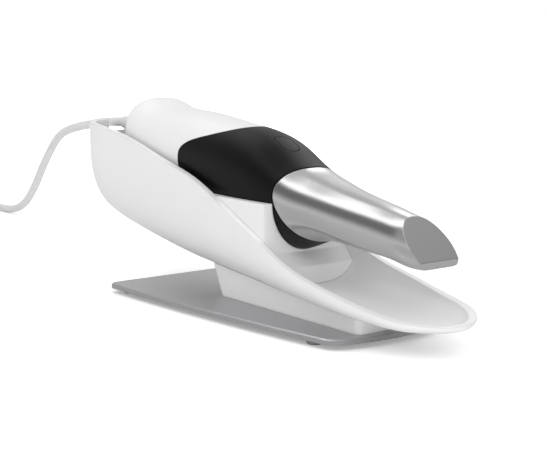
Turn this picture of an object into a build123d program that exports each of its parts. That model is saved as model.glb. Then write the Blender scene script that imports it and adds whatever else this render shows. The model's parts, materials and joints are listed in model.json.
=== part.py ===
from build123d import *
from math import cos, pi, radians, sin, tan
import os

# An intraoral scanner lying in its desk holder, with its cable. X runs forward to the tip and Z up, and the
# origin is on the floor under the middle of the holder. Lengths are in millimetres.
# The scanner has a frame of its own: it starts at the rear end, runs forward along the axis and slopes down.

os.makedirs("parts", exist_ok=True)

# Holder
holder_length = 338.0
hull_width = 67.0
tongue_width = 62.0
rear_round = 36.0
front_round = 39.0
rear_under = 38.0
front_under = 12.2
hull_wall = 4.0
hull_lid = 112.0
rim_rear = 102.5
rim_front = 17.8
rim_round = 2.4
notch_width = 15.0
notch_floor = 94.6

foot_height = 3.0
foot_diameter = 9.0
plate_thickness = 3.0
plate_length = 206.0
plate_rear_x = -84.0
plate_rear_width = 111.0
plate_front_width = 78.0
plate_bow = 3.0
plate_corner = 12.0
plate_rear_corner = 5.5
plate_front_bow = 6.0
plate_bevel = 0.7

pedestal_width = 42.4
pedestal_length = 126.0
pedestal_rear_x = -10.0
pedestal_lean = 13.0
pedestal_wall = 3.0
pedestal_round = 4.0

saddle_rear_x = -62.0
saddle_front_x = 46.0
saddle_top = 67.5
saddle_wall = 3.0
ledge_length = 8.5
ledge_top = 38.8
ledge_front = 31.5

# Scanner
scanner_length = 276.0
scanner_width = 53.0
scanner_height = 60.0
scanner_pitch = 7.0
scanner_rear_x = -119.5
scanner_rear_z = 96.7
housing_wall = 2.2
housing_end_round = 12.0
seam_height = -9.0
tip_wall = 1.6
tip_gap = 1.1
tip_clearance = 0.5
slant_angle = 38.7
lip_height = 3.8
button_length = 16.0
button_width = 11.0
button_along = 146.0
button_travel = 0.7

# Fits
seat_gap = 0.1
rest_gap = 0.3
overrun = 5.0

# Cable
cable_diameter = 6.4
boot_length = 36.0
boot_diameter = 13.0
boot_end_diameter = 8.4

standing = (Align.CENTER, Align.CENTER, Align.MIN)
downward = (Align.CENTER, Align.CENTER, Align.MAX)

plate_top = foot_height + plate_thickness
hull_rear_x = -holder_length / 2
rear_round_x = hull_rear_x + rear_round
front_round_x = holder_length / 2 - front_round

pitch = radians(scanner_pitch)
ahead = Vector(cos(pitch), 0, -sin(pitch))
upward = Vector(sin(pitch), 0, cos(pitch))
rear = Vector(scanner_rear_x, 0, scanner_rear_z)
scanner_side = Plane(origin=rear, x_dir=ahead, z_dir=(0, -1, 0))


def across(distance):
    """Plane square to the scanner's axis, with local x along Y and local y upward."""
    return Plane(origin=rear + ahead * distance, x_dir=(0, 1, 0), z_dir=ahead)


def level(height):
    """Plane along the scanner's axis, at a height above it, with local x forward."""
    return Plane(origin=rear + upward * height, x_dir=ahead, z_dir=upward)


def power(value, exponent):
    return (1 if value >= 0 else -1) * abs(value) ** exponent


# The scanner's form: shares of its length, of its half width, and of its height for the top, the widest
# line and the bottom, then how square the upper and the lower half are.
form_shares = [
    (0.000, 0.955, 0.378, 0.03, -0.350, 2.4, 2.2),
    (0.072, 0.985, 0.390, 0.03, -0.390, 2.4, 2.2),
    (0.217, 1.000, 0.396, 0.02, -0.465, 2.4, 2.1),
    (0.362, 1.000, 0.400, 0.00, -0.550, 2.4, 2.0),
    (0.453, 0.990, 0.397, -0.03, -0.605, 2.4, 2.0),
    (0.525, 0.965, 0.340, -0.07, -0.630, 2.4, 2.0),
    (0.587, 0.925, 0.228, -0.12, -0.625, 2.4, 2.0),
    (0.630, 0.880, 0.170, -0.14, -0.585, 2.4, 2.0),
    (0.674, 0.815, 0.137, -0.15, -0.480, 2.4, 2.1),
    (0.721, 0.728, 0.110, -0.16, -0.400, 2.4, 2.5),
    (0.779, 0.650, 0.088, -0.18, -0.358, 2.4, 3.6),
    (0.870, 0.562, 0.066, -0.20, -0.327, 2.4, 6.0),
    (0.924, 0.525, 0.047, -0.205, -0.319, 2.4, 7.5),
    (1.000, 0.490, 0.013, -0.205, -0.312, 2.4, 8.5),
]
form_points = 24
form_least = 0.3


def form_section(shares, grow):
    along, width, top, widest, bottom, square_top, square_bottom = shares
    half = max(width * scanner_width / 2 + grow, form_least)
    middle = widest * scanner_height
    above = max(top * scanner_height + grow - middle, form_least)
    below = max(middle - bottom * scanner_height + grow, form_least)
    points = []
    for i in range(form_points):
        angle = radians(i * 360 / form_points)
        upper = i <= form_points / 2
        square = square_top if upper else square_bottom
        rise = above if upper else below
        points.append((half * power(cos(angle), 2 / square), middle + rise * power(sin(angle), 2 / square)))
    with BuildSketch(across(along * scanner_length - (grow if along == 0 else 0))) as sketch:
        with BuildLine():
            Spline(*points, periodic=True)
        make_face()
    return sketch.sketch


def scanner_form(grow=0.0):
    """The scanner's outer form, grown or shrunk all round."""
    with BuildPart() as form:
        loft(sections=[form_section(shares, grow) for shares in form_shares])
        fillet(form.faces().sort_by(Axis((0, 0, 0), ahead))[0].edges(), housing_end_round + grow)
    return form.part


def ahead_of(points, reach):
    """A block that holds all that lies ahead of a curve drawn on the scanner's side view."""
    with BuildPart() as block:
        with BuildSketch(scanner_side):
            with BuildLine():
                edge = Spline(*points)
                far = scanner_length + reach
                Polyline(edge @ 1, (far, (edge @ 1).Y), (far, (edge @ 0).Y), edge @ 0)
            make_face()
        extrude(amount=scanner_width, both=True)
    return block.part


def beyond_end(solid, inset):
    """Cut a solid square at the lip and along the slanted end face, both moved inward by an inset."""
    slant = radians(slant_angle)
    foot = form_shares[-1][4] * scanner_height + lip_height
    corner = foot + inset * tan(slant) - inset / cos(slant)
    climb = scanner_height
    with BuildPart() as block:
        add(solid)
        with BuildSketch(scanner_side):
            with BuildLine():
                Polyline(
                    (scanner_length - inset, -scanner_height),
                    (scanner_length - inset, corner),
                    (scanner_length - inset - climb / tan(slant), corner + climb),
                    (scanner_length + overrun, corner + climb),
                    (scanner_length + overrun, -scanner_height),
                    close=True,
                )
            make_face()
        extrude(amount=scanner_width, both=True, mode=Mode.SUBTRACT)
    return block.part


def side_points(shares, shift=0.0):
    return [(along * scanner_length + shift, height * scanner_height) for along, height in shares]


# Where the collar meets the housing, and where the tip meets the collar, seen from the side
collar_edge_shares = [
    (0.478, 0.60), (0.440, 0.45), (0.405, 0.370), (0.326, 0.228), (0.290, 0.150), (0.268, 0.050),
    (0.266, -0.090), (0.270, -0.333), (0.275, -0.75),
]
tip_edge_shares = [
    (0.630, 0.30), (0.616, 0.175), (0.602, 0.02), (0.604, -0.11), (0.621, -0.232), (0.659, -0.385),
    (0.700, -0.50), (0.730, -0.60),
]

outer = scanner_form()
middle = scanner_form(-housing_wall / 2)
inner = scanner_form(-housing_wall)
ahead_of_housing = ahead_of(side_points(collar_edge_shares), overrun)
ahead_of_collar = ahead_of(side_points(tip_edge_shares), overrun)
ahead_of_seal = ahead_of(side_points(tip_edge_shares, tip_gap - tip_clearance), overrun)
ahead_of_gap = ahead_of(side_points(tip_edge_shares, tip_gap), overrun)


def between(start, end):
    """A block that holds all that lies between two stations along the scanner's axis."""
    with BuildPart(across(start)) as block:
        Box(3 * scanner_height, 3 * scanner_height, end - start, align=standing)
    return block.part


def over(height):
    """A block that holds all that lies above a height over the scanner's axis."""
    with BuildPart(level(height)) as block:
        with Locations((scanner_length / 2, 0)):
            Box(2 * scanner_length, 2 * scanner_width, scanner_height, align=standing)
    return block.part


def pins(places, height, radius, length, way=Align.MIN):
    """Round posts, holes or shanks square to the scanner's axis, from a height up, or down with Align.MAX."""
    with BuildPart(level(height)) as group:
        with Locations(*places):
            Cylinder(radius, length, align=(Align.CENTER, Align.CENTER, way))
    return group.part


def screws(plane, places, shank_radius, shank_length, head_radius, head_height):
    """Pan head screws that point down from a plane, on which their heads stand."""
    with BuildPart(plane) as group:
        with Locations(*places):
            Cylinder(shank_radius, shank_length, align=downward)
            Cylinder(head_radius, head_height, align=standing)
        tops = group.faces().sort_by(Axis((0, 0, 0), plane.z_dir))[-len(places):]
        fillet(tops.edges(), head_height / 3)
    return group.part


# Housing screws come up from below, and the board stands on four posts of its own
housing_screw_shares = [(0.087, 0.368), (0.087, -0.368), (0.225, 0.368), (0.225, -0.368)]
housing_screw_places = [(s * scanner_length, w * scanner_width) for s, w in housing_screw_shares]
housing_post_radius = 2.9
housing_screw_radius = 1.25
housing_screw_length = 13.0
housing_screw_head_radius = 2.4
housing_screw_head_height = 1.8
housing_screw_grip = 3.0
hole_clearance = 0.2

board_rear = 22.0
board_length = 62.0
board_width = 32.0
board_thickness = 1.6
board_height = -3.8
board_screw_inset = 6.0
board_screw_side = 12.8
board_screw_radius = 1.0
board_screw_length = 8.0
board_screw_head_radius = 1.9
board_screw_head_height = 1.4
board_post_radius = 2.5
board_screw_front = 66.0
board_screw_places = [
    (along, side) for along in (board_rear + board_screw_inset, board_screw_front)
    for side in (-board_screw_side, board_screw_side)
]

boot_neck_radius = 5.0
boot_taper_end = 5.0
boot_flange_radius = 7.4
boot_flange_thickness = 2.4
clamp_along = 9.0
clamp_length = 7.0
clamp_width = 14.0
clamp_height = 9.0
cord_end_radius = 2.5
cord_end_length = 17.0

with BuildPart() as top_posts:
    add(pins(housing_screw_places, seam_height, housing_post_radius, scanner_height))
    add(middle, mode=Mode.INTERSECT)

with BuildPart() as bottom_posts:
    add(pins(housing_screw_places, seam_height, housing_post_radius, scanner_height, Align.MAX))
    add(pins(board_screw_places, board_height, board_post_radius, scanner_height, Align.MAX))
    add(middle, mode=Mode.INTERSECT)

with BuildPart() as rear_top_shell:
    add(outer)
    add(over(seam_height), mode=Mode.INTERSECT)
    add(ahead_of_housing, mode=Mode.SUBTRACT)
    add(inner, mode=Mode.SUBTRACT)
    add(top_posts.part)
    reach = housing_screw_length - housing_screw_grip
    add(pins(housing_screw_places, seam_height, housing_screw_radius, reach), mode=Mode.SUBTRACT)
    with BuildSketch(across(-overrun)):
        Circle(boot_neck_radius)
    extrude(amount=overrun + housing_end_round, mode=Mode.SUBTRACT)

with BuildPart() as rear_bottom_shell:
    add(outer)
    add(over(seam_height), mode=Mode.SUBTRACT)
    add(ahead_of_housing, mode=Mode.SUBTRACT)
    add(inner, mode=Mode.SUBTRACT)
    add(bottom_posts.part)
    seat = seam_height - housing_screw_grip
    head_hole = housing_screw_head_radius + hole_clearance
    screw_holes = pins(housing_screw_places, seam_height, housing_screw_radius, scanner_height, Align.MAX)
    head_holes = pins(housing_screw_places, seat, head_hole, scanner_height, Align.MAX)
    board_holes = pins(board_screw_places, board_height, board_screw_radius, board_screw_length, Align.MAX)
    add([screw_holes, head_holes, board_holes], mode=Mode.SUBTRACT)

with BuildPart() as housing_screws:
    upside_down = Plane(origin=rear + upward * seat, x_dir=ahead, z_dir=-upward)
    add(screws(
        upside_down, housing_screw_places, housing_screw_radius, housing_screw_length,
        housing_screw_head_radius, housing_screw_head_height,
    ))

# Main board, with the connector that the cable's end goes into and a heat sink over the processor
connector_length = 7.0
connector_width = 12.0
connector_height = 6.5
sink_size = 20.0
sink_base = 2.0
sink_height = 8.0
sink_fin = 1.2
sink_fins = 6
sink_along = 48.0

board_top = board_height + board_thickness
with BuildPart(level(board_height)) as main_board:
    with Locations((board_rear + board_length / 2, 0)):
        Box(board_length, board_width, board_thickness, align=standing)
    with Locations(*board_screw_places):
        Hole(board_screw_radius, depth=board_thickness)

with BuildPart() as board_screws:
    add(screws(
        level(board_top), board_screw_places, board_screw_radius, board_screw_length - board_thickness,
        board_screw_head_radius, board_screw_head_height,
    ))

with BuildPart(level(board_top)) as board_connector:
    with Locations((board_rear + connector_length / 2, 0)):
        Box(connector_length, connector_width, connector_height, align=standing)
    with BuildSketch(across(board_rear)):
        Circle(cord_end_radius)
    extrude(amount=connector_length / 2, mode=Mode.SUBTRACT)


def finned_sink(place, length, width, height):
    """A heat sink that stands on a plane, with its fins along the scanner."""
    with BuildPart(place) as sink:
        Box(length, width, sink_base, align=standing)
        with GridLocations(0, (width - sink_fin) / (sink_fins - 1), 1, sink_fins):
            Box(length, sink_fin, height, align=standing)
    return sink.part


with BuildPart() as processor_sink:
    add(finned_sink(level(board_top) * Pos(sink_along, 0, 0), sink_size, sink_size, sink_height))

# Collar, with two shelves for the button's board and four pillars for the bench
bench_top = -17.5
bench_thickness = 3.0
bench_rear = 80.0
bench_length = 96.0
bench_width = 24.0
bench_slot_clearance = 0.1
pillar_radius = 3.0
bench_screw_inset = 8.0
bench_screw_side = 7.6
bench_screw_front = 142.0
bench_screw_radius = 1.25
bench_screw_length = 9.0
bench_screw_head_radius = 2.3
bench_screw_head_height = 1.6
bench_screw_places = [
    (along, side) for along in (bench_rear + bench_screw_inset, bench_screw_front)
    for side in (-bench_screw_side, bench_screw_side)
]
button_corner = 4.8
button_flange = 1.4
button_flange_top = 13.3
button_flange_thickness = 1.2
button_gap = 0.3
switch_slack = 0.3
switch_size = 6.0
switch_height = 3.4
plunger_radius = 1.7
plunger_height = 1.0
button_board_length = 20.0
button_board_width = 14.0
button_board_thickness = 1.2
shelf_thickness = 2.0
shelf_overlap = 1.2

plunger_top = button_flange_top - button_flange_thickness - button_travel - switch_slack
switch_base = plunger_top - plunger_height - switch_height
shelf_top = switch_base - button_board_thickness
button_board_along = button_along + (button_board_length - button_length) / 2

with BuildPart() as pillars:
    add(pins(bench_screw_places, bench_top - bench_thickness, pillar_radius, scanner_height, Align.MAX))
    add(middle, mode=Mode.INTERSECT)

with BuildPart() as shelves:
    with BuildSketch(level(shelf_top)):
        with Locations((button_board_along, 0)):
            Rectangle(button_board_length, scanner_width)
            Rectangle(button_board_length, button_board_width - 2 * shelf_overlap, mode=Mode.SUBTRACT)
    extrude(amount=-shelf_thickness)
    add(middle, mode=Mode.INTERSECT)

with BuildPart() as nose_collar:
    add(outer)
    add(ahead_of_housing, mode=Mode.INTERSECT)
    add(ahead_of_collar, mode=Mode.SUBTRACT)
    add(inner, mode=Mode.SUBTRACT)
    add(pillars.part)
    add(shelves.part)
    add(pins(
        bench_screw_places, bench_top - bench_thickness, bench_screw_radius,
        bench_screw_length - bench_thickness, Align.MAX,
    ), mode=Mode.SUBTRACT)
    with BuildSketch(level(button_flange_top)):
        with Locations((button_along, 0)):
            RectangleRounded(
                button_length + 2 * button_gap, button_width + 2 * button_gap, button_corner + button_gap,
            )
    extrude(amount=scanner_height, mode=Mode.SUBTRACT)

with BuildPart() as scan_button:
    with BuildSketch(level(button_flange_top)):
        with Locations((button_along, 0)):
            RectangleRounded(button_length, button_width, button_corner)
    extrude(amount=scanner_height)
    add(outer, mode=Mode.INTERSECT)
    with BuildSketch(level(button_flange_top)):
        with Locations((button_along, 0)):
            RectangleRounded(
                button_length + 2 * button_flange, button_width + 2 * button_flange,
                button_corner + button_flange,
            )
    extrude(amount=-button_flange_thickness)

with BuildPart(level(switch_base)) as button_switch:
    with Locations((button_along, 0)):
        Box(switch_size, switch_size, switch_height, align=standing)
        Cylinder(plunger_radius, switch_height + plunger_height, align=standing)

with BuildPart(level(shelf_top)) as button_board:
    with Locations((button_board_along, 0)):
        Box(
            button_board_length, button_board_width, button_board_thickness,
            align=standing,
        )

# Tip
aperture_rear = 238.0
aperture_length = 30.0
aperture_width = 18.0
aperture_corner = 5.0
mirror_thickness = 1.2
mirror_gap = 0.1
mirror_side_gap = 0.4
mirror_low = 4.5
mirror_high = 19.5
mirror_width = 19.0

with BuildPart() as tip_seal:
    add(scanner_form(-tip_gap / 2))
    add(ahead_of_collar, mode=Mode.INTERSECT)
    add(ahead_of_seal, mode=Mode.SUBTRACT)
    add(inner, mode=Mode.SUBTRACT)

with BuildPart() as tip_hollow:
    add(beyond_end(scanner_form(-tip_wall), tip_wall))

with BuildPart() as tip_sleeve:
    add(beyond_end(outer, 0))
    add(ahead_of_gap, mode=Mode.INTERSECT)
    add(tip_hollow.part, mode=Mode.SUBTRACT)
    with BuildSketch(level(seam_height)):
        with Locations((aperture_rear + aperture_length / 2, 0)):
            RectangleRounded(aperture_length, aperture_width, aperture_corner)
    extrude(amount=-scanner_height, mode=Mode.SUBTRACT)

slant = radians(slant_angle)
slant_foot = form_shares[-1][4] * scanner_height + lip_height


def slanted(inset, back):
    """A point behind the slanted end face, on the scanner's side view."""
    return (scanner_length - back, slant_foot + back * tan(slant) - inset / cos(slant))


with BuildPart() as tip_mirror:
    near_face = tip_wall + mirror_gap
    far_face = near_face + mirror_thickness
    with BuildSketch(scanner_side):
        with BuildLine():
            Polyline(
                slanted(near_face, mirror_low), slanted(near_face, mirror_high),
                slanted(far_face, mirror_high), slanted(far_face, mirror_low), close=True,
            )
        make_face()
    extrude(amount=mirror_width / 2, both=True)
    add(scanner_form(-tip_wall - mirror_side_gap), mode=Mode.INTERSECT)

# Snout that carries the tip, its grip ring and its heated window
snout_rear = 160.0
snout_front = 232.0
snout_gap = 0.1
snout_wall = 1.6
grip_ring_along = 200.0
grip_ring_width = 2.4
grip_ring_depth = 0.7
window_inset = 2.0
window_thickness = 2.0
heater_thickness = 1.2
heater_wall = 2.4

snout_skin = housing_wall + snout_gap
snout_inside = scanner_form(-snout_skin - snout_wall)
ring_seat = scanner_form(-snout_skin - grip_ring_depth)
window_front = snout_front - window_inset
window_rear = window_front - window_thickness
ring_span = between(grip_ring_along, grip_ring_along + grip_ring_width)

with BuildPart() as ring_groove:
    add(ring_span)
    add(ring_seat, mode=Mode.SUBTRACT)

with BuildPart() as snout:
    add(scanner_form(-snout_skin))
    add(between(snout_rear, snout_front), mode=Mode.INTERSECT)
    add(snout_inside, mode=Mode.SUBTRACT)
    add(ring_groove.part, mode=Mode.SUBTRACT)

with BuildPart() as tip_grip_ring:
    add(scanner_form(-tip_wall - button_gap))
    add(ring_span, mode=Mode.INTERSECT)
    add(ring_seat, mode=Mode.SUBTRACT)

with BuildPart() as snout_window:
    add(snout_inside)
    add(between(window_rear, window_front), mode=Mode.INTERSECT)

with BuildPart() as window_heater:
    add(snout_inside)
    add(between(window_rear - heater_thickness, window_rear), mode=Mode.INTERSECT)
    add(scanner_form(-snout_skin - snout_wall - heater_wall), mode=Mode.SUBTRACT)

# Optics on their bench: lens barrel, beam splitter, projector and camera, all on one optical axis
optical_height = -8.5
barrel_rear = 142.0
barrel_length = 62.0
barrel_radius = 8.5
barrel_bore = 7.0
rear_lens_along = 143.5
front_lens_along = 199.0
lens_thickness = 4.5
lens_bulge = 1.3
splitter_size = 16.0
splitter_rear = 118.0
camera_along = 107.0
camera_size = 22.0
camera_thickness = 1.6
camera_width = 24.0
sensor_size = 12.0
sensor_thickness = 1.6
cradle_rear_along = 152.0
cradle_front_along = 169.0
cradle_thickness = 4.0
cheek_thickness = 2.2
slot_post = 4.0
projector_flange = 1.6
projector_length = 15.0
projector_width = 14.0
projector_height = 7.0
projector_sink_height = 6.0

optical_drop = optical_height - bench_top
splitter_seat = optical_drop - splitter_size / 2
cheek_top = optical_drop + splitter_size / 2 + bench_slot_clearance
splitter_along = splitter_rear + splitter_size / 2
bulge_radius = (barrel_bore ** 2 + lens_bulge ** 2) / (2 * lens_bulge)

with BuildPart(level(bench_top)) as optical_bench:
    with Locations((bench_rear + bench_length / 2, 0)):
        Box(bench_length, bench_width, bench_thickness, align=downward)
    with Locations((splitter_along, 0)):
        Box(splitter_size, splitter_size, splitter_seat, align=standing)
    for side in (-1, 1):
        with Locations((splitter_along, side * (bench_width - cheek_thickness) / 2)):
            Box(splitter_size, cheek_thickness, cheek_top, align=standing)
        with Locations((camera_along, side * (bench_width - slot_post) / 2)):
            Box(slot_post, slot_post, optical_drop, align=standing)
    with Locations((cradle_rear_along, 0), (cradle_front_along, 0)):
        Box(cradle_thickness, bench_width, optical_drop, align=standing)
    with BuildSketch(across(barrel_rear)):
        with Locations((0, optical_height)):
            Circle(barrel_radius)
    extrude(amount=barrel_length, mode=Mode.SUBTRACT)
    with Locations((camera_along, 0)):
        Box(
            camera_thickness + bench_slot_clearance, camera_width + bench_slot_clearance, scanner_height,
            align=standing, mode=Mode.SUBTRACT,
        )
    with Locations(*bench_screw_places):
        Hole(bench_screw_radius, depth=bench_thickness)

with BuildPart() as bench_screws:
    add(screws(
        level(bench_top), bench_screw_places, bench_screw_radius, bench_screw_length,
        bench_screw_head_radius, bench_screw_head_height,
    ))

with BuildPart() as lens_barrel:
    with BuildSketch(across(barrel_rear)):
        with Locations((0, optical_height)):
            Circle(barrel_radius)
            Circle(barrel_bore, mode=Mode.SUBTRACT)
    extrude(amount=barrel_length)


def lens(along):
    """A lens, bulged on both sides, that starts at a station along the scanner."""
    axis = Axis(rear + upward * optical_height, ahead)
    with BuildPart() as glass:
        with BuildSketch(scanner_side):
            with BuildLine():
                centre = along + lens_thickness / 2
                rim_front = (centre + lens_thickness / 2 - lens_bulge, optical_height + barrel_bore)
                rim_back = (centre - lens_thickness / 2 + lens_bulge, optical_height + barrel_bore)
                Line((along, optical_height), (along + lens_thickness, optical_height))
                RadiusArc((along + lens_thickness, optical_height), rim_front, -bulge_radius)
                Line(rim_front, rim_back)
                RadiusArc(rim_back, (along, optical_height), -bulge_radius)
            make_face()
        revolve(axis=axis)
    return glass.part


with BuildPart() as rear_lens:
    add(lens(rear_lens_along))

with BuildPart() as front_lens:
    add(lens(front_lens_along))

with BuildPart(level(bench_top + splitter_seat)) as beam_splitter:
    with Locations((splitter_along, 0)):
        Box(splitter_size, splitter_size, splitter_size, align=standing)

with BuildPart(level(bench_top)) as camera_board:
    with Locations((camera_along, 0)):
        Box(camera_thickness, camera_width, camera_size, align=standing)

with BuildPart(across(camera_along + camera_thickness / 2)) as image_sensor:
    with Locations((0, optical_height)):
        Box(sensor_size, sensor_size, sensor_thickness, align=standing)

with BuildPart(level(bench_top + cheek_top)) as projector:
    with Locations((splitter_along, 0)):
        Box(splitter_size, bench_width, projector_flange, align=standing)
        Box(projector_length, projector_width, projector_height, align=standing)

with BuildPart() as projector_sink:
    place = level(bench_top + cheek_top + projector_height) * Pos(splitter_along, 0, 0)
    add(finned_sink(place, projector_length, projector_width, projector_sink_height))

# Cable's end in the housing: a boot held by the shell, the bare end and its clamp
with BuildPart() as strain_relief:
    neck_end = housing_wall
    flange_end = neck_end + boot_flange_thickness
    with BuildSketch(scanner_side):
        with BuildLine():
            Polyline(
                (-boot_length, 0), (-boot_length, boot_end_diameter / 2),
                (-boot_taper_end, boot_diameter / 2),
                (0, boot_diameter / 2), (0, boot_neck_radius), (neck_end, boot_neck_radius),
                (neck_end, boot_flange_radius), (flange_end, boot_flange_radius), (flange_end, 0), close=True,
            )
        make_face()
    revolve(axis=Axis(rear, ahead))

with BuildPart() as cable_end:
    with BuildSketch(across(flange_end)):
        Circle(cord_end_radius)
    extrude(amount=cord_end_length)

with BuildPart(level(0)) as cable_clamp:
    with Locations((clamp_along + clamp_length / 2, 0)):
        Box(clamp_length, clamp_width, clamp_height)
    with BuildSketch(across(clamp_along)):
        Circle(cord_end_radius)
    extrude(amount=clamp_length, mode=Mode.SUBTRACT)


# Holder's form: where each section lies between the rounded ends, then its share of the width, of the drop
# in depth and of the curved part's height, and how square its curve is.
hull_curve = 45.0
hull_shares = [
    (0.0000, 0.985, 1.000, 1.00, 2.6), (0.0875, 0.985, 0.818, 0.98, 2.7), (0.2015, 0.985, 0.640, 0.93, 2.8),
    (0.3536, 0.985, 0.457, 0.84, 3.0), (0.5057, 0.990, 0.333, 0.73, 3.0), (0.6578, 1.000, 0.217, 0.58, 3.0),
    (0.8100, 1.000, 0.100, 0.38, 2.8), (0.9240, 0.975, 0.023, 0.27, 2.5), (1.0000, 0.925, 0.000, 0.22, 2.4),
]
rear_turn_shares = [(82, 0.27), (72, 0.45), (60, 0.62), (45, 0.80), (25, 0.93)]
front_turn_shares = [(25, 0.16), (45, 0.12), (60, 0.095), (73, 0.07), (84, 0.045)]
rear_climb = 58.0
front_climb = 4.0
hull_points = 12
rear_narrowing_share = 0.75
rear_climb_share = 0.95


def hull_section(x, half, under, curve, square):
    with BuildSketch(Plane.YZ.offset(x)) as sketch:
        with BuildLine():
            points = []
            for i in range(hull_points + 1):
                angle = radians(180 + i * 180 / hull_points)
                rise = curve + curve * power(sin(angle), 2 / square)
                points.append((half * power(cos(angle), 2 / square), under + rise))
            Spline(*points)
            Polyline(points[-1], (half, hull_lid), (-half, hull_lid), points[0])
        make_face()
    return sketch.sketch


def hull_form(grow=0.0):
    """The holder's form up to its lid, grown or shrunk all round."""
    sections = []
    for turn, curve in rear_turn_shares:
        out = sin(radians(turn)) * (rear_round + grow)
        half = (hull_shares[0][1] * hull_width / 2 + grow) * cos(radians(turn)) ** rear_narrowing_share
        under = rear_under - grow + rear_climb * (1 - cos(radians(turn))) ** rear_climb_share
        sections.append(hull_section(rear_round_x - out, half, under, curve * hull_curve, hull_shares[0][4]))
    for along, width, drop, curve, square in hull_shares:
        x = rear_round_x + along * (front_round_x - rear_round_x)
        under = front_under + drop * (rear_under - front_under) - grow
        sections.append(hull_section(x, width * hull_width / 2 + grow, under, curve * hull_curve, square))
    for turn, curve in front_turn_shares:
        out = sin(radians(turn)) * (front_round + grow)
        half = (tongue_width / 2 + grow) * cos(radians(turn))
        under = front_under - grow + (front_climb + grow) * (1 - cos(radians(turn)))
        x = front_round_x + out
        sections.append(hull_section(x, half, under, curve * hull_curve, hull_shares[-1][4]))
    with BuildPart() as form:
        loft(sections=sections)
    return form.part


def hull_under(x):
    """Height of the holder's underside on its middle line."""
    share = (x - rear_round_x) / (front_round_x - rear_round_x)
    drop = 0.0
    for first, second in zip(hull_shares, hull_shares[1:]):
        if first[0] <= share <= second[0]:
            drop = first[2] + (second[2] - first[2]) * (share - first[0]) / (second[0] - first[0])
    return front_under + drop * (rear_under - front_under)


# The rim's line from the side: shares of the holder's half length, and of the drop from its rear to its front
rim_shares = [
    (-1.01, 1.000), (-0.722, 0.965), (-0.518, 0.888), (-0.343, 0.795), (-0.130, 0.685), (0.101, 0.487),
    (0.204, 0.399), (0.320, 0.288), (0.426, 0.205), (0.568, 0.138), (0.746, 0.071), (1.01, 0.000),
]
rim_drop = rim_rear - rim_front
rim_points = [(share * holder_length / 2, rim_front + drop * rim_drop) for share, drop in rim_shares]

# Screws of the holder: two pan heads hold the shell on the pedestal, two the saddle from under the shell
shell_screw_inset = 17.0
shell_screw_spacing = 26.0
saddle_screw_inset = 22.0
saddle_screw_side = 12.0
shell_screw_x = pedestal_rear_x + shell_screw_inset
shell_screw_places = [(shell_screw_x, 0), (shell_screw_x + shell_screw_spacing, 0)]
saddle_screw_x = saddle_rear_x + saddle_screw_inset
saddle_screw_places = [(saddle_screw_x, -saddle_screw_side), (saddle_screw_x, saddle_screw_side)]
holder_screw_radius = 1.5
holder_screw_length = 12.0
holder_screw_head_radius = 2.8
holder_screw_head_height = 2.0
head_seat_depth = 0.8
seat_radius = 3.4
saddle_seat_depth = 2.2

with BuildPart() as over_rim:
    with BuildSketch(Plane.XZ.offset(hull_width)):
        with BuildLine():
            edge = Spline(*rim_points)
            top = hull_lid + overrun
            Polyline(edge @ 1, ((edge @ 1).X, top), ((edge @ 0).X, top), edge @ 0)
        make_face()
    extrude(amount=-2 * hull_width)

with BuildPart() as cradle_shell:
    add(hull_form())
    add(over_rim.part, mode=Mode.SUBTRACT)
    add(hull_form(-hull_wall), mode=Mode.SUBTRACT)
    notch_top = rim_rear + overrun
    with BuildSketch(Plane.YZ.offset(hull_rear_x - overrun)):
        with Locations((0, (notch_top + notch_floor) / 2)):
            RectangleRounded(notch_width, notch_top - notch_floor, rim_round)
    extrude(amount=2 * hull_wall + 2 * overrun, mode=Mode.SUBTRACT)
    for x, y in shell_screw_places:
        seat_height = hull_under(x) + hull_wall - head_seat_depth
        with Locations((x, y, seat_height)):
            Cylinder(holder_screw_radius, 2 * hull_wall, align=downward, mode=Mode.SUBTRACT)
            Cylinder(seat_radius, hull_wall, align=standing, mode=Mode.SUBTRACT)
    for x, y in saddle_screw_places:
        seat_height = hull_under(x) + saddle_seat_depth
        with Locations((x, y, seat_height)):
            Cylinder(holder_screw_radius, 2 * hull_wall, align=standing, mode=Mode.SUBTRACT)
            Cylinder(seat_radius, hull_wall, align=downward, mode=Mode.SUBTRACT)

# Saddle: it fills the holder under the scanner, with a channel of the scanner's form and pockets from below
pocket_width = 34.0
side_pocket_width = 6.0
side_pocket_offset = 23.0
pocket_shares = [(0.102, 0.130), (0.370, 0.204), (0.634, 0.222), (0.880, 0.167)]
pocket_corner = 1.5
ledge_front_x = saddle_front_x + ledge_length
saddle_length = saddle_front_x - saddle_rear_x
pockets = [(saddle_rear_x + place * saddle_length, share * saddle_length) for place, share in pocket_shares]

saddle_room = hull_form(-hull_wall - seat_gap)
channel = scanner_form(rest_gap)
pocket_roof = scanner_form(rest_gap + saddle_wall)

with BuildPart() as saddle_pockets:
    with BuildSketch(Plane.XY):
        for x, length in pockets:
            with Locations((x, 0)):
                RectangleRounded(length, pocket_width, pocket_corner)
            with Locations((x, side_pocket_offset), (x, -side_pocket_offset)):
                RectangleRounded(length, side_pocket_width, pocket_corner)
    extrude(amount=saddle_top - saddle_wall)
    add(pocket_roof, mode=Mode.SUBTRACT)
    with BuildSketch(Plane.XZ):
        with BuildLine():
            Polyline(
                (saddle_front_x - saddle_wall, saddle_top),
                (saddle_front_x - saddle_wall, ledge_top - saddle_wall),
                (ledge_front_x, ledge_top - saddle_wall), (ledge_front_x, saddle_top), close=True,
            )
        make_face()
    extrude(amount=hull_width, both=True, mode=Mode.SUBTRACT)

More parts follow.
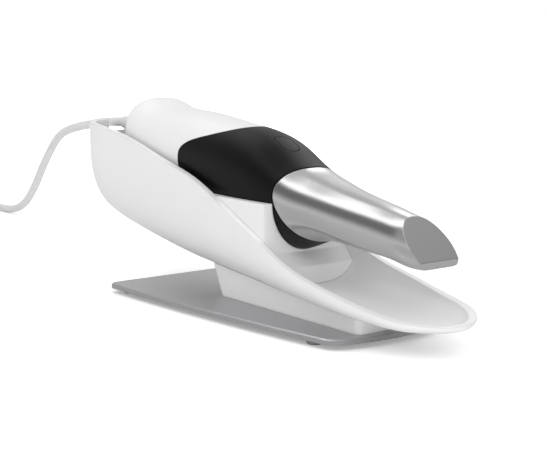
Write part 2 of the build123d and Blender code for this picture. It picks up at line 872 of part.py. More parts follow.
with BuildPart() as saddle:
    with BuildSketch(Plane.XZ):
        with BuildLine():
            Polyline(
                (saddle_rear_x, 0), (saddle_rear_x, saddle_top), (saddle_front_x, saddle_top),
                (saddle_front_x, ledge_top), (ledge_front_x, ledge_front), (ledge_front_x, 0), close=True,
            )
        make_face()
    extrude(amount=hull_width, both=True)
    add(saddle_room, mode=Mode.INTERSECT)
    add(channel, mode=Mode.SUBTRACT)
    add(saddle_pockets.part, mode=Mode.SUBTRACT)
    for x, y in saddle_screw_places:
        with Locations((x, y, hull_under(x))):
            Cylinder(
                holder_screw_radius, holder_screw_length + saddle_seat_depth,
                align=standing, mode=Mode.SUBTRACT,
            )

# Pedestal, hollow from below, with a boss under each screw
pedestal_top = 33.0
plate_screw_length = 9.0
plate_screw_rear_inset = 16.0
plate_screw_front_inset = 20.0
plate_screw_side = 13.0
boss_radius = 4.2
pedestal_front_x = pedestal_rear_x + pedestal_length
plate_screw_rows = (pedestal_rear_x + plate_screw_rear_inset, pedestal_front_x - plate_screw_front_inset)
plate_screw_places = [(x, y) for x in plate_screw_rows for y in (-plate_screw_side, plate_screw_side)]


def pedestal_block(inset, gap):
    """The pedestal's form under the holder, inset all round, with a gap to the holder."""
    rear_bottom = (pedestal_rear_x + inset, plate_top)
    rear_top = (pedestal_rear_x + inset - pedestal_lean, pedestal_top)
    with BuildPart() as block:
        with BuildSketch(Plane.XZ):
            with BuildLine():
                Polyline(
                    rear_bottom, rear_top, (pedestal_front_x - inset, pedestal_top),
                    (pedestal_front_x - inset, plate_top), close=True,
                )
            make_face()
        extrude(amount=pedestal_width / 2 - inset, both=True)
        uprights = block.edges().filter_by(lambda edge: abs((edge @ 1 - edge @ 0).Z) > pedestal_wall)
        fillet(uprights, pedestal_round - inset)
        add(hull_form(gap), mode=Mode.SUBTRACT)
    return block.part


with BuildPart() as pedestal_hollow:
    add(pedestal_block(pedestal_wall, seat_gap + pedestal_wall))
    with BuildSketch(Plane.XY.offset(plate_top)):
        with Locations(*plate_screw_places, *shell_screw_places):
            Circle(boss_radius)
    extrude(amount=pedestal_top, mode=Mode.SUBTRACT)

with BuildPart() as pedestal:
    add(pedestal_block(0, seat_gap))
    add(pedestal_hollow.part, mode=Mode.SUBTRACT)
    with BuildSketch(Plane.XY.offset(plate_top)):
        with Locations(*plate_screw_places):
            Circle(holder_screw_radius)
    extrude(amount=plate_screw_length - plate_thickness, mode=Mode.SUBTRACT)
    for x, y in shell_screw_places:
        with Locations((x, y, hull_under(x) + hull_wall - head_seat_depth)):
            Cylinder(
                holder_screw_radius, holder_screw_length,
                align=downward, mode=Mode.SUBTRACT,
            )

plate_hole_radius = 1.7
countersink_radius = 3.0
foot_bevel = 0.5
foot_rear_inset = 10.0
foot_rear_side_inset = 10.5
foot_front_inset = 26.0
foot_front_side_inset = 5.0

plate_front_x = plate_rear_x + plate_length
foot_rear = (plate_rear_x + foot_rear_inset, plate_rear_width / 2 - foot_rear_side_inset)
foot_front = (plate_front_x - foot_front_inset, plate_front_width / 2 - foot_front_side_inset)
foot_places = [(x, side * y) for x, y in (foot_rear, foot_front) for side in (1, -1)]
plate_middle_x = (plate_rear_x + plate_front_x) / 2
plate_middle_y = (plate_rear_width + plate_front_width) / 4 + plate_bow
plate_rear_near = (plate_rear_x, -plate_rear_width / 2)
plate_rear_far = (plate_rear_x, plate_rear_width / 2)
plate_side_near = (plate_middle_x, -plate_middle_y)
plate_side_far = (plate_middle_x, plate_middle_y)
plate_front_near = (plate_front_x - plate_front_bow, -plate_front_width / 2)
plate_front_far = (plate_front_x - plate_front_bow, plate_front_width / 2)

with BuildPart() as base_plate:
    with BuildSketch(Plane.XY.offset(foot_height)) as plate_outline:
        with BuildLine():
            ThreePointArc(plate_rear_near, plate_side_near, plate_front_near)
            ThreePointArc(plate_front_near, (plate_front_x, 0), plate_front_far)
            ThreePointArc(plate_front_far, plate_side_far, plate_rear_far)
            Line(plate_rear_far, plate_rear_near)
        make_face()
        fillet(plate_outline.vertices().group_by(Axis.X)[-1], plate_corner)
        fillet(plate_outline.vertices().group_by(Axis.X)[0], plate_rear_corner)
    extrude(amount=plate_thickness)
    chamfer(base_plate.faces().sort_by(Axis.Z)[-1].edges(), plate_bevel)
    with Locations(Plane.XY.offset(foot_height)):
        with Locations(*plate_screw_places):
            Cylinder(
                plate_hole_radius, plate_thickness, align=standing, mode=Mode.SUBTRACT,
            )
            Cone(
                countersink_radius, plate_hole_radius, countersink_radius - plate_hole_radius,
                align=standing, mode=Mode.SUBTRACT,
            )

with BuildPart(Plane.XY.offset(foot_height)) as plate_screws:
    with Locations(*plate_screw_places):
        Cylinder(holder_screw_radius, plate_screw_length, align=standing)
        Cone(
            countersink_radius, holder_screw_radius, countersink_radius - holder_screw_radius,
            align=standing,
        )

with BuildPart() as feet:
    with Locations(*foot_places):
        Cylinder(foot_diameter / 2, foot_height, align=standing)
    chamfer(feet.faces().sort_by(Axis.Z)[:len(foot_places)].edges(), foot_bevel)

with BuildPart() as shell_screws:
    for x, y in shell_screw_places:
        place = Plane.XY.offset(hull_under(x) + hull_wall - head_seat_depth)
        add(screws(
            place, [(x, y)], holder_screw_radius, holder_screw_length,
            holder_screw_head_radius, holder_screw_head_height,
        ))

with BuildPart() as saddle_screws:
    for x, y in saddle_screw_places:
        place = Plane(origin=(0, 0, hull_under(x) + saddle_seat_depth), x_dir=(1, 0, 0), z_dir=(0, 0, -1))
        add(screws(
            place, [(x, y)], holder_screw_radius, holder_screw_length,
            holder_screw_head_radius, holder_screw_head_height,
        ))

# Cable: a hand-chosen route from the boot down to the table, a coil of the rest, and a tail to a plug
route = [
    (-155.2, 0.0, 101.1), (-180.0, 0.5, 100.2), (-214.0, 5.0, 96.0), (-251.0, 12.0, 91.5),
    (-290.0, 19.0, 84.0), (-321.0, 26.0, 69.0), (-348.0, 31.0, 51.0), (-376.0, 36.5, 30.0),
    (-409.0, 42.5, 12.0), (-442.0, 46.0, 3.2), (-480.0, 46.5, 3.2), (-510.0, 44.8, 3.2),
]
tail_route = [(-510.0, -51.2, 9.7), (-491.0, -51.4, 8.7), (-470.0, -53.0, 4.7), (-450.0, -56.0, 4.0)]
coil_centre = (-510.0, -3.2)
coil_outer_radius = 51.2
coil_inner_radius = 24.0
coil_height = 12.9
coil_round = 3.0
plug_length = 32.0
plug_width = 15.0
plug_height = 8.0
plug_round = 2.0
plug_shell_length = 14.0
plug_shell_width = 12.0
plug_shell_height = 4.5
plug_shell_wall = 0.4


def corner_radii(points):
    """The radius at each inner point of a route: as large as its two runs allow."""
    radii = []
    for before, point, after in zip(points, points[1:], points[2:]):
        first = Vector(*point) - Vector(*before)
        second = Vector(*after) - Vector(*point)
        half_turn = radians(first.get_angle(second)) / 2
        radii.append(0.45 * min(first.length, second.length) / tan(half_turn))
    return radii


def cable_tube(points):
    """A plain tube through a route, as straight runs and the arcs between them."""
    radii = corner_radii(points)
    print("radii", [round(radius) for radius in radii])
    with BuildLine() as path:
        FilletPolyline(*points, radius=radii)
    with BuildPart() as tube:
        with BuildSketch(Plane(origin=path.wire() @ 0, z_dir=path.wire() % 0)):
            Circle(cable_diameter / 2)
        sweep(path=path.wire())
    length = path.wire().length
    full_volume = pi * (cable_diameter / 2) ** 2 * length
    print("volume share", round(tube.part.volume / full_volume, 4), "length", round(length))
    return tube.part


with BuildPart() as cable:
    add(cable_tube(route))

with BuildPart() as cable_tail:
    add(cable_tube(tail_route))

with BuildPart() as cable_coil:
    with BuildSketch(Plane(origin=(*coil_centre, 0), x_dir=(1, 0, 0), z_dir=(0, -1, 0))):
        with Locations(((coil_outer_radius + coil_inner_radius) / 2, coil_height / 2)):
            RectangleRounded(coil_outer_radius - coil_inner_radius, coil_height, coil_round)
    revolve(axis=Axis((*coil_centre, 0), (0, 0, 1)))

plug_start = Vector(*tail_route[-1])
plug_way = (plug_start - Vector(*tail_route[-2])).normalized()
flat_way = Vector(plug_way.X, plug_way.Y, 0).normalized()
plug_plane = Plane(origin=plug_start, x_dir=flat_way.cross(Vector(0, 0, -1)), z_dir=flat_way)

with BuildPart() as plug_body:
    with BuildSketch(plug_plane):
        RectangleRounded(plug_width, plug_height, plug_round)
    extrude(amount=plug_length)

with BuildPart() as plug_shell:
    with BuildSketch(plug_plane.offset(plug_length)):
        Rectangle(plug_shell_width, plug_shell_height)
        offset(amount=-plug_shell_wall, mode=Mode.SUBTRACT)
    extrude(amount=plug_shell_length)

pieces = {
    "rear_top_shell": rear_top_shell, "rear_bottom_shell": rear_bottom_shell, "nose_collar": nose_collar,
    "tip_seal": tip_seal, "tip_sleeve": tip_sleeve, "tip_mirror": tip_mirror, "scan_button": scan_button,
    "button_switch": button_switch, "button_board": button_board, "snout": snout,
    "tip_grip_ring": tip_grip_ring, "snout_window": snout_window, "window_heater": window_heater,
    "optical_bench": optical_bench, "bench_screws": bench_screws, "lens_barrel": lens_barrel,
    "rear_lens": rear_lens, "front_lens": front_lens, "beam_splitter": beam_splitter,
    "camera_board": camera_board, "image_sensor": image_sensor, "projector": projector,
    "projector_sink": projector_sink, "main_board": main_board, "board_screws": board_screws,
    "board_connector": board_connector, "processor_sink": processor_sink, "housing_screws": housing_screws,
    "strain_relief": strain_relief, "cable_end": cable_end, "cable_clamp": cable_clamp,
    "cradle_shell": cradle_shell, "saddle": saddle, "pedestal": pedestal, "base_plate": base_plate,
    "feet": feet, "plate_screws": plate_screws, "shell_screws": shell_screws, "saddle_screws": saddle_screws,
    "cable": cable, "cable_coil": cable_coil, "cable_tail": cable_tail, "plug_body": plug_body,
    "plug_shell": plug_shell,
}
for name, piece in pieces.items():
    piece.part.label = name
    export_step(piece.part, f"parts/{name}.step")
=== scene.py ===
import bpy
import json
import math
import numpy as np
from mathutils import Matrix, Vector


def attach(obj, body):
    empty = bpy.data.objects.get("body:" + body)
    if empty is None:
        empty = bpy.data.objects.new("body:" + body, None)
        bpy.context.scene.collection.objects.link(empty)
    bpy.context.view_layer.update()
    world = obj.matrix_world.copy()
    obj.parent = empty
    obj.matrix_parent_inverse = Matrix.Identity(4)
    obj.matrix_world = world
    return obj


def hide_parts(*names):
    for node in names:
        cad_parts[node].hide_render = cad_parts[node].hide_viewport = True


# A wired intraoral scanner in its desk holder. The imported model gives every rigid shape, and this script gives
# each of them its finish, winds the cable and sets the studio. Lengths are in metres.

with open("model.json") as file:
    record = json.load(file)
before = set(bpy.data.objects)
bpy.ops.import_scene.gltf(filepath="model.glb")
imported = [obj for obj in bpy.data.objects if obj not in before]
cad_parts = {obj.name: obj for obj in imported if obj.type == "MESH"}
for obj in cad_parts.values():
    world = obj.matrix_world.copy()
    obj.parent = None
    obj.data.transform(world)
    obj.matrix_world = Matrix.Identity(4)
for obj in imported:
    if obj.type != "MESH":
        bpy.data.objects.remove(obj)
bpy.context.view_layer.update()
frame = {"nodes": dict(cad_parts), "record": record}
nodes = frame["nodes"]
print("frame loaded,", len(nodes), "nodes")


# One output of a shader node. Sums and products on it add Math nodes, also with the number on the left.
class Wire:
    def __init__(self, nodes, socket):
        self.nodes = nodes
        self.socket = socket

    def __add__(self, other):
        return self.nodes.maths("ADD", self, other)

    def __radd__(self, other):
        return self.nodes.maths("ADD", other, self)

    def __sub__(self, other):
        return self.nodes.maths("SUBTRACT", self, other)

    def __rsub__(self, other):
        return self.nodes.maths("SUBTRACT", other, self)

    def __mul__(self, other):
        return self.nodes.maths("MULTIPLY", self, other)

    def __rmul__(self, other):
        return self.nodes.maths("MULTIPLY", other, self)

    def between(self, low, high):
        # 0 below low, 1 above high, and a soft step between them
        return self.nodes.node(
            "ShaderNodeMapRange", {"interpolation_type": "SMOOTHSTEP"}, {0: self, 1: low, 2: high}
        )


# A node tree. node() adds any node from its settings and the values or wires of its sockets.
class Nodes:
    def __init__(self, tree):
        self.tree = tree
        tree.nodes.clear()

    def node(self, kind, settings=None, sockets=None, output=0):
        made = self.tree.nodes.new(kind)
        for key, value in (settings or {}).items():
            if key == "stops":
                self.setStops(made.color_ramp, value)
            else:
                setattr(made, key, value)
        for key, value in (sockets or {}).items():
            self.plug(made.inputs[key], value)
        return Wire(self, made.outputs[output]) if made.outputs else made

    def setStops(self, ramp, stops):
        while len(ramp.elements) < len(stops):
            ramp.elements.new(0.5)
        for element, (place, level) in zip(ramp.elements, stops):
            element.position = place
            element.color = (level, level, level, 1)

    def plug(self, socket, value):
        if isinstance(value, Wire):
            self.tree.links.new(value.socket, socket)
        else:
            socket.default_value = value

    def maths(self, operation, first, second):
        return self.node("ShaderNodeMath", {"operation": operation}, {0: first, 1: second})


# One material with a Principled shader
class Finish(Nodes):
    def __init__(self, name, **sockets):
        self.material = bpy.data.materials.new(name)
        self.material.use_nodes = True
        super().__init__(self.material.node_tree)
        self.shader = self.tree.nodes.new("ShaderNodeBsdfPrincipled")
        output = self.tree.nodes.new("ShaderNodeOutputMaterial")
        self.tree.links.new(self.shader.outputs[0], output.inputs["Surface"])
        for key, value in sockets.items():
            self.set(key.replace("_", " "), value)

    def set(self, name, value):
        self.plug(self.shader.inputs[name], value)

    def place(self, scale=(1, 1, 1)):
        # Object coordinates, stretched by scale
        at = self.node("ShaderNodeTexCoord", output="Object")
        return self.node("ShaderNodeMapping", {}, {"Vector": at, "Scale": scale})

    def noise(self, size, detail=2.0, scale=(1, 1, 1), rough=0.5):
        # Cloudy noise from 0 to 1 whose lumps are about size across
        return self.node(
            "ShaderNodeTexNoise", {}, {
                "Vector": self.place(scale), "Scale": 1 / size, "Detail": detail, "Roughness": rough,
            },
        )

    def tint(self, low, high, mix):
        # A colour between low and high, by mix from 0 to 1
        return self.node(
            "ShaderNodeMix", {"data_type": "RGBA"}, {0: mix, 6: (*low, 1), 7: (*high, 1)}, output=2,
        )

    def relief(self, height, depth, soften=0.0):
        # Bumps as deep as depth, over edges rounded by soften
        sockets = {"Height": height, "Distance": depth, "Strength": 1.0}
        if soften:
            sockets["Normal"] = self.node("ShaderNodeBevel", {"samples": 8}, {"Radius": soften})
        self.set("Normal", self.node("ShaderNodeBump", {}, sockets))


# White plastic of the holder and the housing: smooth and slightly mottled, with a fine spark-eroded grain
whitePlastic = {
    "colour": (0.875, 0.875, 0.88),
    "darker": (0.85, 0.85, 0.855),
    "mottle": 0.045,
    "grain": 0.0006,
    "grainDepth": 0.000004,
    "roughness": 0.34,
    "mottleRoughness": 0.06,
    "grainRoughness": 0.05,
    "shine": 0.45,
    "edge": 0.0012,
}


def makeWhite(name, settings):
    finish = Finish(name, Specular_IOR_Level=settings["shine"])
    mottle = finish.noise(settings["mottle"], 3.0)
    grain = finish.noise(settings["grain"])
    uneven = settings["mottleRoughness"] * mottle + settings["grainRoughness"] * grain
    finish.set("Base Color", finish.tint(settings["darker"], settings["colour"], mottle))
    finish.set("Roughness", settings["roughness"] + uneven)
    finish.relief(grain, settings["grainDepth"], settings["edge"])
    return finish.material


# Black collar: soft-touch plastic with a faint leathery grain
blackPlastic = {
    "colour": (0.0035, 0.0035, 0.0037),
    "lighter": (0.0055, 0.0055, 0.0058),
    "cloud": 0.03,
    "grain": 0.0008,
    "grainDepth": 0.000012,
    "roughness": 0.40,
    "grainRoughness": 0.08,
    "shine": 0.12,
    "edge": 0.0005,
}


def makeBlack(name, settings):
    finish = Finish(name, Specular_IOR_Level=settings["shine"])
    grain = finish.noise(settings["grain"], 3.0)
    cloud = finish.noise(settings["cloud"])
    finish.set("Base Color", finish.tint(settings["colour"], settings["lighter"], cloud))
    finish.set("Roughness", settings["roughness"] + settings["grainRoughness"] * grain)
    finish.relief(grain, settings["grainDepth"], settings["edge"])
    return finish.material


# Metal: brushed or blasted. Streaks are longer along an axis with a stretch below 1.
tipMetal = {
    "colour": (0.53, 0.53, 0.535), "lighter": (0.57, 0.57, 0.575), "stretch": (0.4, 1.0, 1.0),
    "streak": 0.0010, "depth": 0.000003, "roughness": 0.22, "edge": 0.0007,
}
plateSteel = {
    "colour": (0.46, 0.46, 0.47), "lighter": (0.56, 0.56, 0.57), "stretch": (0.03, 1.0, 1.0),
    "streak": 0.0007, "depth": 0.000004, "roughness": 0.38, "edge": 0.0003,
}
lightMetal = {
    "colour": (0.62, 0.62, 0.63), "lighter": (0.70, 0.70, 0.71), "stretch": (0.5, 1.0, 1.0),
    "streak": 0.0006, "depth": 0.000006, "roughness": 0.34, "edge": 0.0002,
}
screwSteel = {
    "colour": (0.50, 0.50, 0.50), "lighter": (0.60, 0.60, 0.59), "stretch": (1.0, 1.0, 1.0),
    "streak": 0.0005, "depth": 0.000003, "roughness": 0.28, "edge": 0.0002,
}
plugMetal = {
    "colour": (0.66, 0.66, 0.66), "lighter": (0.76, 0.76, 0.75), "stretch": (0.2, 1.0, 1.0),
    "streak": 0.0006, "depth": 0.000002, "roughness": 0.18, "edge": 0.0002,
}
everyMetal = {"cloud": 0.05, "streakShare": 0.6, "streakBreak": 0.6, "streakRoughness": 0.05}


def makeMetal(name, settings):
    finish = Finish(name, Metallic=1.0)
    streak = finish.noise(settings["streak"], 3.0, settings["stretch"], everyMetal["streakBreak"])
    cloud = finish.noise(everyMetal["cloud"])
    share = everyMetal["streakShare"]
    worn = streak * share + cloud * (1 - share)
    finish.set("Base Color", finish.tint(settings["colour"], settings["lighter"], worn))
    finish.set("Roughness", settings["roughness"] + everyMetal["streakRoughness"] * streak)
    finish.relief(streak, settings["depth"], settings["edge"])
    return finish.material


# Rubber and cable jacket
darkRubber = {
    "colour": (0.02, 0.02, 0.021), "lighter": (0.035, 0.035, 0.036), "grain": 0.0005, "roughness": 0.62,
}
greyRubber = {
    "colour": (0.26, 0.26, 0.265), "lighter": (0.32, 0.32, 0.325), "grain": 0.0005, "roughness": 0.55,
}
paleJacket = {
    "colour": (0.73, 0.73, 0.74), "lighter": (0.79, 0.79, 0.80), "grain": 0.0007, "roughness": 0.46,
}
everyRubber = {"cloud": 0.012, "grainRoughness": 0.10, "grainDepth": 0.00001, "shine": 0.4, "edge": 0.0004}


def makeRubber(name, settings):
    finish = Finish(name, Specular_IOR_Level=everyRubber["shine"])
    grain = finish.noise(settings["grain"], 3.0)
    cloud = finish.noise(everyRubber["cloud"], 3.0)
    finish.set("Base Color", finish.tint(settings["colour"], settings["lighter"], cloud))
    finish.set("Roughness", settings["roughness"] + everyRubber["grainRoughness"] * grain)
    finish.relief(grain, everyRubber["grainDepth"], everyRubber["edge"])
    return finish.material


# Circuit board: green lacquer over faint tracks, which are the joints of a staggered brick pattern
boardLacquer = {
    "colour": (0.010, 0.075, 0.030),
    "track": (0.030, 0.140, 0.055),
    "brick": 0.0096,
    "stagger": 0.37,
    "squash": 1.6,
    "trackWidth": 0.012,
    "trackDepth": 0.00002,
    "roughness": 0.32,
    "trackRoughness": 0.15,
    "coat": 0.4,
    "coatRoughness": 0.15,
}


def makeBoard(name, settings):
    finish = Finish(name, Coat_Weight=settings["coat"], Coat_Roughness=settings["coatRoughness"])
    track = finish.node(
        "ShaderNodeTexBrick", {"offset": settings["stagger"], "squash": settings["squash"]}, {
            "Vector": finish.place(), "Scale": 1 / settings["brick"], "Mortar Size": settings["trackWidth"],
            "Color1": (0, 0, 0, 1), "Color2": (0, 0, 0, 1), "Mortar": (1, 1, 1, 1),
        }, output="Fac",
    )
    finish.set("Base Color", finish.tint(settings["colour"], settings["track"], track))
    finish.set("Roughness", settings["roughness"] + settings["trackRoughness"] * track)
    finish.relief(track, settings["trackDepth"])
    return finish.material


# Optical glass, with a faint coated tint that varies over the surface
opticalGlass = {
    "colour": (0.93, 0.97, 0.98), "tinted": (0.86, 0.93, 0.97), "haze": 0.006,
    "roughness": 0.03, "hazeRoughness": 0.02, "index": 1.5,
}


def makeGlass(name, settings):
    finish = Finish(name, Transmission_Weight=1.0, IOR=settings["index"])
    haze = finish.noise(settings["haze"])
    finish.set("Base Color", finish.tint(settings["tinted"], settings["colour"], haze))
    finish.set("Roughness", settings["roughness"] + settings["hazeRoughness"] * haze)
    return finish.material


# Silvered face of the tip's mirror
mirrorGlass = {
    "colour": (0.94, 0.95, 0.95), "darker": (0.88, 0.89, 0.90), "haze": 0.01,
    "roughness": 0.03, "hazeRoughness": 0.03,
}


def makeMirror(name, settings):
    finish = Finish(name, Metallic=1.0)
    haze = finish.noise(settings["haze"])
    finish.set("Base Color", finish.tint(settings["darker"], settings["colour"], haze))
    finish.set("Roughness", settings["roughness"] + settings["hazeRoughness"] * haze)
    return finish.material


finishes = {
    "white_plastic": makeWhite("whitePlastic", whitePlastic),
    "black_plastic": makeBlack("blackPlastic", blackPlastic),
    "dark_rubber": makeRubber("darkRubber", darkRubber),
    "grey_jacket": makeRubber("paleJacket", paleJacket),
    "screw_steel": makeMetal("screwSteel", screwSteel),
    "circuit_board": makeBoard("circuitBoard", boardLacquer),
    "light_metal": makeMetal("lightMetal", lightMetal),
    "clear_glass": makeGlass("opticalGlass", opticalGlass),
    "tip_metal": makeMetal("tipMetal", tipMetal),
    "mirror_glass": makeMirror("mirrorGlass", mirrorGlass),
    "plate_steel": makeMetal("plateSteel", plateSteel),
    "plug_metal": makeMetal("plugMetal", plugMetal),
}
footRubber = makeRubber("footRubber", greyRubber)

for part in frame["record"]["subparts"]:
    mesh = nodes[part["node"]].data
    mesh.materials.clear()
    mesh.materials.append(footRubber if part["node"] == "feet" else finishes[part["material_slot"]])


# Cable: a smooth line through the route of the part's tube, then a coil in two layers, then the tail to the plug.
# The turns start on the outside at the bottom, wind inwards, step up and wind outwards again.
cable = {
    "diameter": 0.0064,
    "route": [
        (-0.1552, 0.0, 0.1011), (-0.1800, 0.0005, 0.1002), (-0.2140, 0.0050, 0.0960),
        (-0.2510, 0.0120, 0.0915), (-0.2900, 0.0190, 0.0840), (-0.3210, 0.0260, 0.0690),
        (-0.3480, 0.0310, 0.0510), (-0.3760, 0.0365, 0.0300), (-0.4090, 0.0425, 0.0120),
        (-0.4420, 0.0460, 0.0032), (-0.4800, 0.0465, 0.0032),
    ],
    "tail": [(-0.4910, -0.0514, 0.0087), (-0.4700, -0.0530, 0.0047), (-0.4500, -0.0560, 0.0040)],
    "centre": (-0.5100, -0.0032),
    "outerTurn": 0.0480,
    "pitch": 0.0066,
    "layer": 0.0065,
    "inwardTurns": 3.0,
    "stepTurns": 0.5,
    "outwardTurns": 3.0,
    "pointsPerTurn": 16,
    "dip": 0.0010,
    "bevelSteps": 5,
    "curveSteps": 6,
}


def coilPoints(c):
    # Radius falls by one pitch a turn, dips while the turn climbs a layer, and grows by one pitch a turn again.
    # Dividing it by the cosine of half a step puts the middles of the steps back on the true radius.
    turns = c["inwardTurns"] + c["stepTurns"] + c["outwardTurns"]
    t = np.arange(0, turns + 1e-6, 1 / c["pointsPerTurn"])
    step = np.clip((t - c["inwardTurns"]) / c["stepTurns"], 0, 1)
    out = np.clip(t - c["inwardTurns"] - c["stepTurns"], 0, None)
    inward = np.clip(t, 0, c["inwardTurns"])
    radius = c["outerTurn"] - inward * c["pitch"] - c["dip"] * np.sin(np.pi * step) + out * c["pitch"]
    radius = radius / math.cos(math.pi / c["pointsPerTurn"])
    angle = math.pi / 2 + 2 * math.pi * t
    across = c["centre"][0] + radius * np.cos(angle)
    along = c["centre"][1] + radius * np.sin(angle)
    height = c["diameter"] / 2 + c["layer"] * (step * step * (3 - 2 * step))
    return np.stack([across, along, height], 1)


def lengthOf(piece):
    # Sum of the steps between the points of the bare line, worked out on a copy without its thickness
    bare = piece.copy()
    bare.data = piece.data.copy()
    bare.data.bevel_depth = 0
    line = bpy.data.meshes.new_from_object(bare)
    spots = np.zeros(len(line.vertices) * 3)
    line.vertices.foreach_get("co", spots)
    bpy.data.objects.remove(bare)
    return float(np.linalg.norm(np.diff(spots.reshape(-1, 3), axis=0), axis=1).sum())


def makeCable(c):
    points = np.concatenate([c["route"], coilPoints(c), c["tail"]])
    curve = bpy.data.curves.new("cableLine", "CURVE")
    curve.dimensions = "3D"
    curve.bevel_depth = c["diameter"] / 2
    curve.bevel_resolution = c["bevelSteps"]
    curve.resolution_u = c["curveSteps"]
    curve.use_fill_caps = True
    spline = curve.splines.new("NURBS")
    spline.points.add(len(points) - 1)
    spline.points.foreach_set("co", np.hstack([points, np.ones((len(points), 1))]).ravel())
    spline.order_u = 3
    spline.use_endpoint_u = True
    piece = bpy.data.objects.new("cableLine", curve)
    bpy.context.scene.collection.objects.link(piece)
    piece.data.materials.append(finishes["grey_jacket"])
    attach(piece, "base")
    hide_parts("cable", "cable_coil", "cable_tail")
    length = lengthOf(piece)
    print("cable", round(length, 3), "m")


makeCable(cable)


# Studio: a pale floor, a surround that is white to the camera and banded in reflections, and soft lamps
studio = {
    "floorSize": 16.0,
    "floorColour": (0.95, 0.95, 0.95),
    # painted shade in reflections: the floor's colour as glossy surfaces mirror it, darker than its own colour
    "floorPaintedDarkInReflections": (0.66, 0.66, 0.66),
    "floorRoughness": 0.9,
    "floorGlow": 0.27,
    "farMirrored": 0.6,
    "fadeStart": 0.5,
    "fadeEnd": 1.3,
    # how bright the surround is, by the height of the direction from 0 at the horizon to 1 overhead: the white
    # backdrop is behind the object, and the room on its other side is darker
    "backdrop": [(0.0, 0.65), (0.2, 0.65), (0.33, 0.85), (0.5, 0.55), (0.65, 0.65), (0.8, 0.7), (1.0, 0.7)],
    "room": [
        (0.0, 0.72), (0.07, 0.7), (0.17, 0.36), (0.28, 0.2), (0.60, 0.17), (0.68, 0.4), (0.85, 0.7), (1.0, 0.7),
    ],
    "backdropWay": (-0.8, 0.6, 0.0),
    "backdropStart": 0.1,
    "backdropFull": 0.6,
    "ambient": 0.61,
    "lamps": [
        # name, place, aim, width, height, strength in watts, seen in reflections
        ("boxLamp", (-0.645, -0.19, 1.08), (0.03, 0.0, 0.06), 1.25, 0.34, 2.3, True),
        ("frontLamp", (0.18, -0.83, 0.97), (0.09, 0.0, 0.05), 0.7, 0.6, 2.4, True),
        ("rimLamp", (-0.43, 0.87, 0.83), (0.0, 0.0, 0.08), 0.4, 0.4, 1.8, True),
        ("fillLamp", (1.05, -0.62, 0.15), (0.0, 0.0, 0.03), 0.9, 0.24, 2.1, False),
        ("endLamp", (0.90, -0.15, 0.76), (0.08, 0.0, 0.02), 0.8, 0.5, 2.2, False),
    ],
}


def aim(thing, place, target):
    thing.location = place
    thing.rotation_euler = (Vector(target) - Vector(place)).to_track_quat("-Z", "Y").to_euler()


def makeFloor(s):
    half = s["floorSize"] / 2
    corners = [(-half, -half, 0), (half, -half, 0), (half, half, 0), (-half, half, 0)]
    mesh = bpy.data.meshes.new("studioFloor")
    mesh.from_pydata(corners, [], [(0, 1, 2, 3)])
    floor = bpy.data.objects.new("studioFloor", mesh)
    bpy.context.scene.collection.objects.link(floor)
    finish = Finish("studioFloor", Roughness=s["floorRoughness"], Specular_IOR_Level=0.0)
    camera = finish.node("ShaderNodeLightPath", output="Is Camera Ray")
    glossy = finish.node("ShaderNodeLightPath", output="Is Glossy Ray")
    # Painted shade in reflections: glossy rays see the floor darker than its own colour, so the metal mirrors a
    # dimmer floor
    finish.set("Base Color", finish.tint(s["floorColour"], s["floorPaintedDarkInReflections"], glossy))
    # White to the eye and bright in reflections, also far off where the lamps don't reach
    spot = finish.node("ShaderNodeTexCoord", output="Object")
    far = finish.node("ShaderNodeVectorMath", {"operation": "LENGTH"}, {0: spot}, output="Value")
    far = far.between(s["fadeStart"], s["fadeEnd"])
    glow = camera * (s["floorGlow"] + (1 - s["floorGlow"]) * far) + glossy * (s["farMirrored"] * far)
    finish.set("Emission Color", (1, 1, 1, 1))
    finish.set("Emission Strength", glow)
    mesh.materials.append(finish.material)


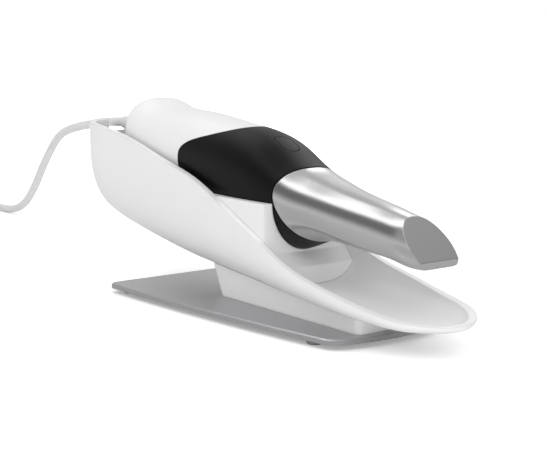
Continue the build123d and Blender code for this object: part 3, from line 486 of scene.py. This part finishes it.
def makeWorld(s):
    world = bpy.data.worlds.new("studioWorld")
    world.use_nodes = True
    sky = Nodes(world.node_tree)
    way = sky.node("ShaderNodeTexCoord", output="Generated")
    height = sky.node("ShaderNodeSeparateXYZ", {}, {0: way}, output="Z")
    room = sky.node("ShaderNodeValToRGB", {"stops": s["room"]}, {"Fac": height})
    backdrop = sky.node("ShaderNodeValToRGB", {"stops": s["backdrop"]}, {"Fac": height})
    turned = {0: way, 1: s["backdropWay"]}
    behind = sky.node("ShaderNodeVectorMath", {"operation": "DOT_PRODUCT"}, turned, "Value")
    behind = behind.between(s["backdropStart"], s["backdropFull"])
    level = room + (backdrop - room) * behind
    # plain white to the camera, the studio in reflections, and even light on everything else
    camera = sky.node("ShaderNodeLightPath", output="Is Camera Ray")
    glossy = sky.node("ShaderNodeLightPath", output="Is Glossy Ray")
    strength = s["ambient"] + camera * (1 - s["ambient"]) + glossy * (level - s["ambient"])
    light = sky.node("ShaderNodeBackground", {}, {"Color": (1, 1, 1, 1), "Strength": strength})
    sky.node("ShaderNodeOutputWorld", {}, {"Surface": light})
    bpy.context.scene.world = world


def makeLamps(s):
    for name, place, target, width, height, power, reflected in s["lamps"]:
        lamp = bpy.data.lights.new(name, "AREA")
        lamp.shape = "RECTANGLE"
        lamp.size = width
        lamp.size_y = height
        lamp.energy = power
        holder = bpy.data.objects.new(name, lamp)
        holder.visible_glossy = reflected
        aim(holder, place, target)
        bpy.context.scene.collection.objects.link(holder)


makeFloor(studio)
makeWorld(studio)
makeLamps(studio)
print("studio set,", len(studio["lamps"]), "lamps")


# The photograph's view, worked out from the scanner's length and the plate's edges
view = {
    "place": (0.57277, -0.42168, 0.15698),
    "target": (0.05203, -0.02785, 0.05509),
    "lens": 79.24,
    "sensor": 36,
    "clipStart": 0.01,
}


def makeCamera(v):
    lens = bpy.data.cameras.new("camera")
    lens.lens = v["lens"]
    lens.sensor_width = v["sensor"]
    lens.clip_start = v["clipStart"]
    holder = bpy.data.objects.new("camera", lens)
    aim(holder, v["place"], v["target"])
    bpy.context.scene.collection.objects.link(holder)
    bpy.context.scene.camera = holder


makeCamera(view)
bpy.context.scene.view_settings.view_transform = "Standard"
print("camera placed")
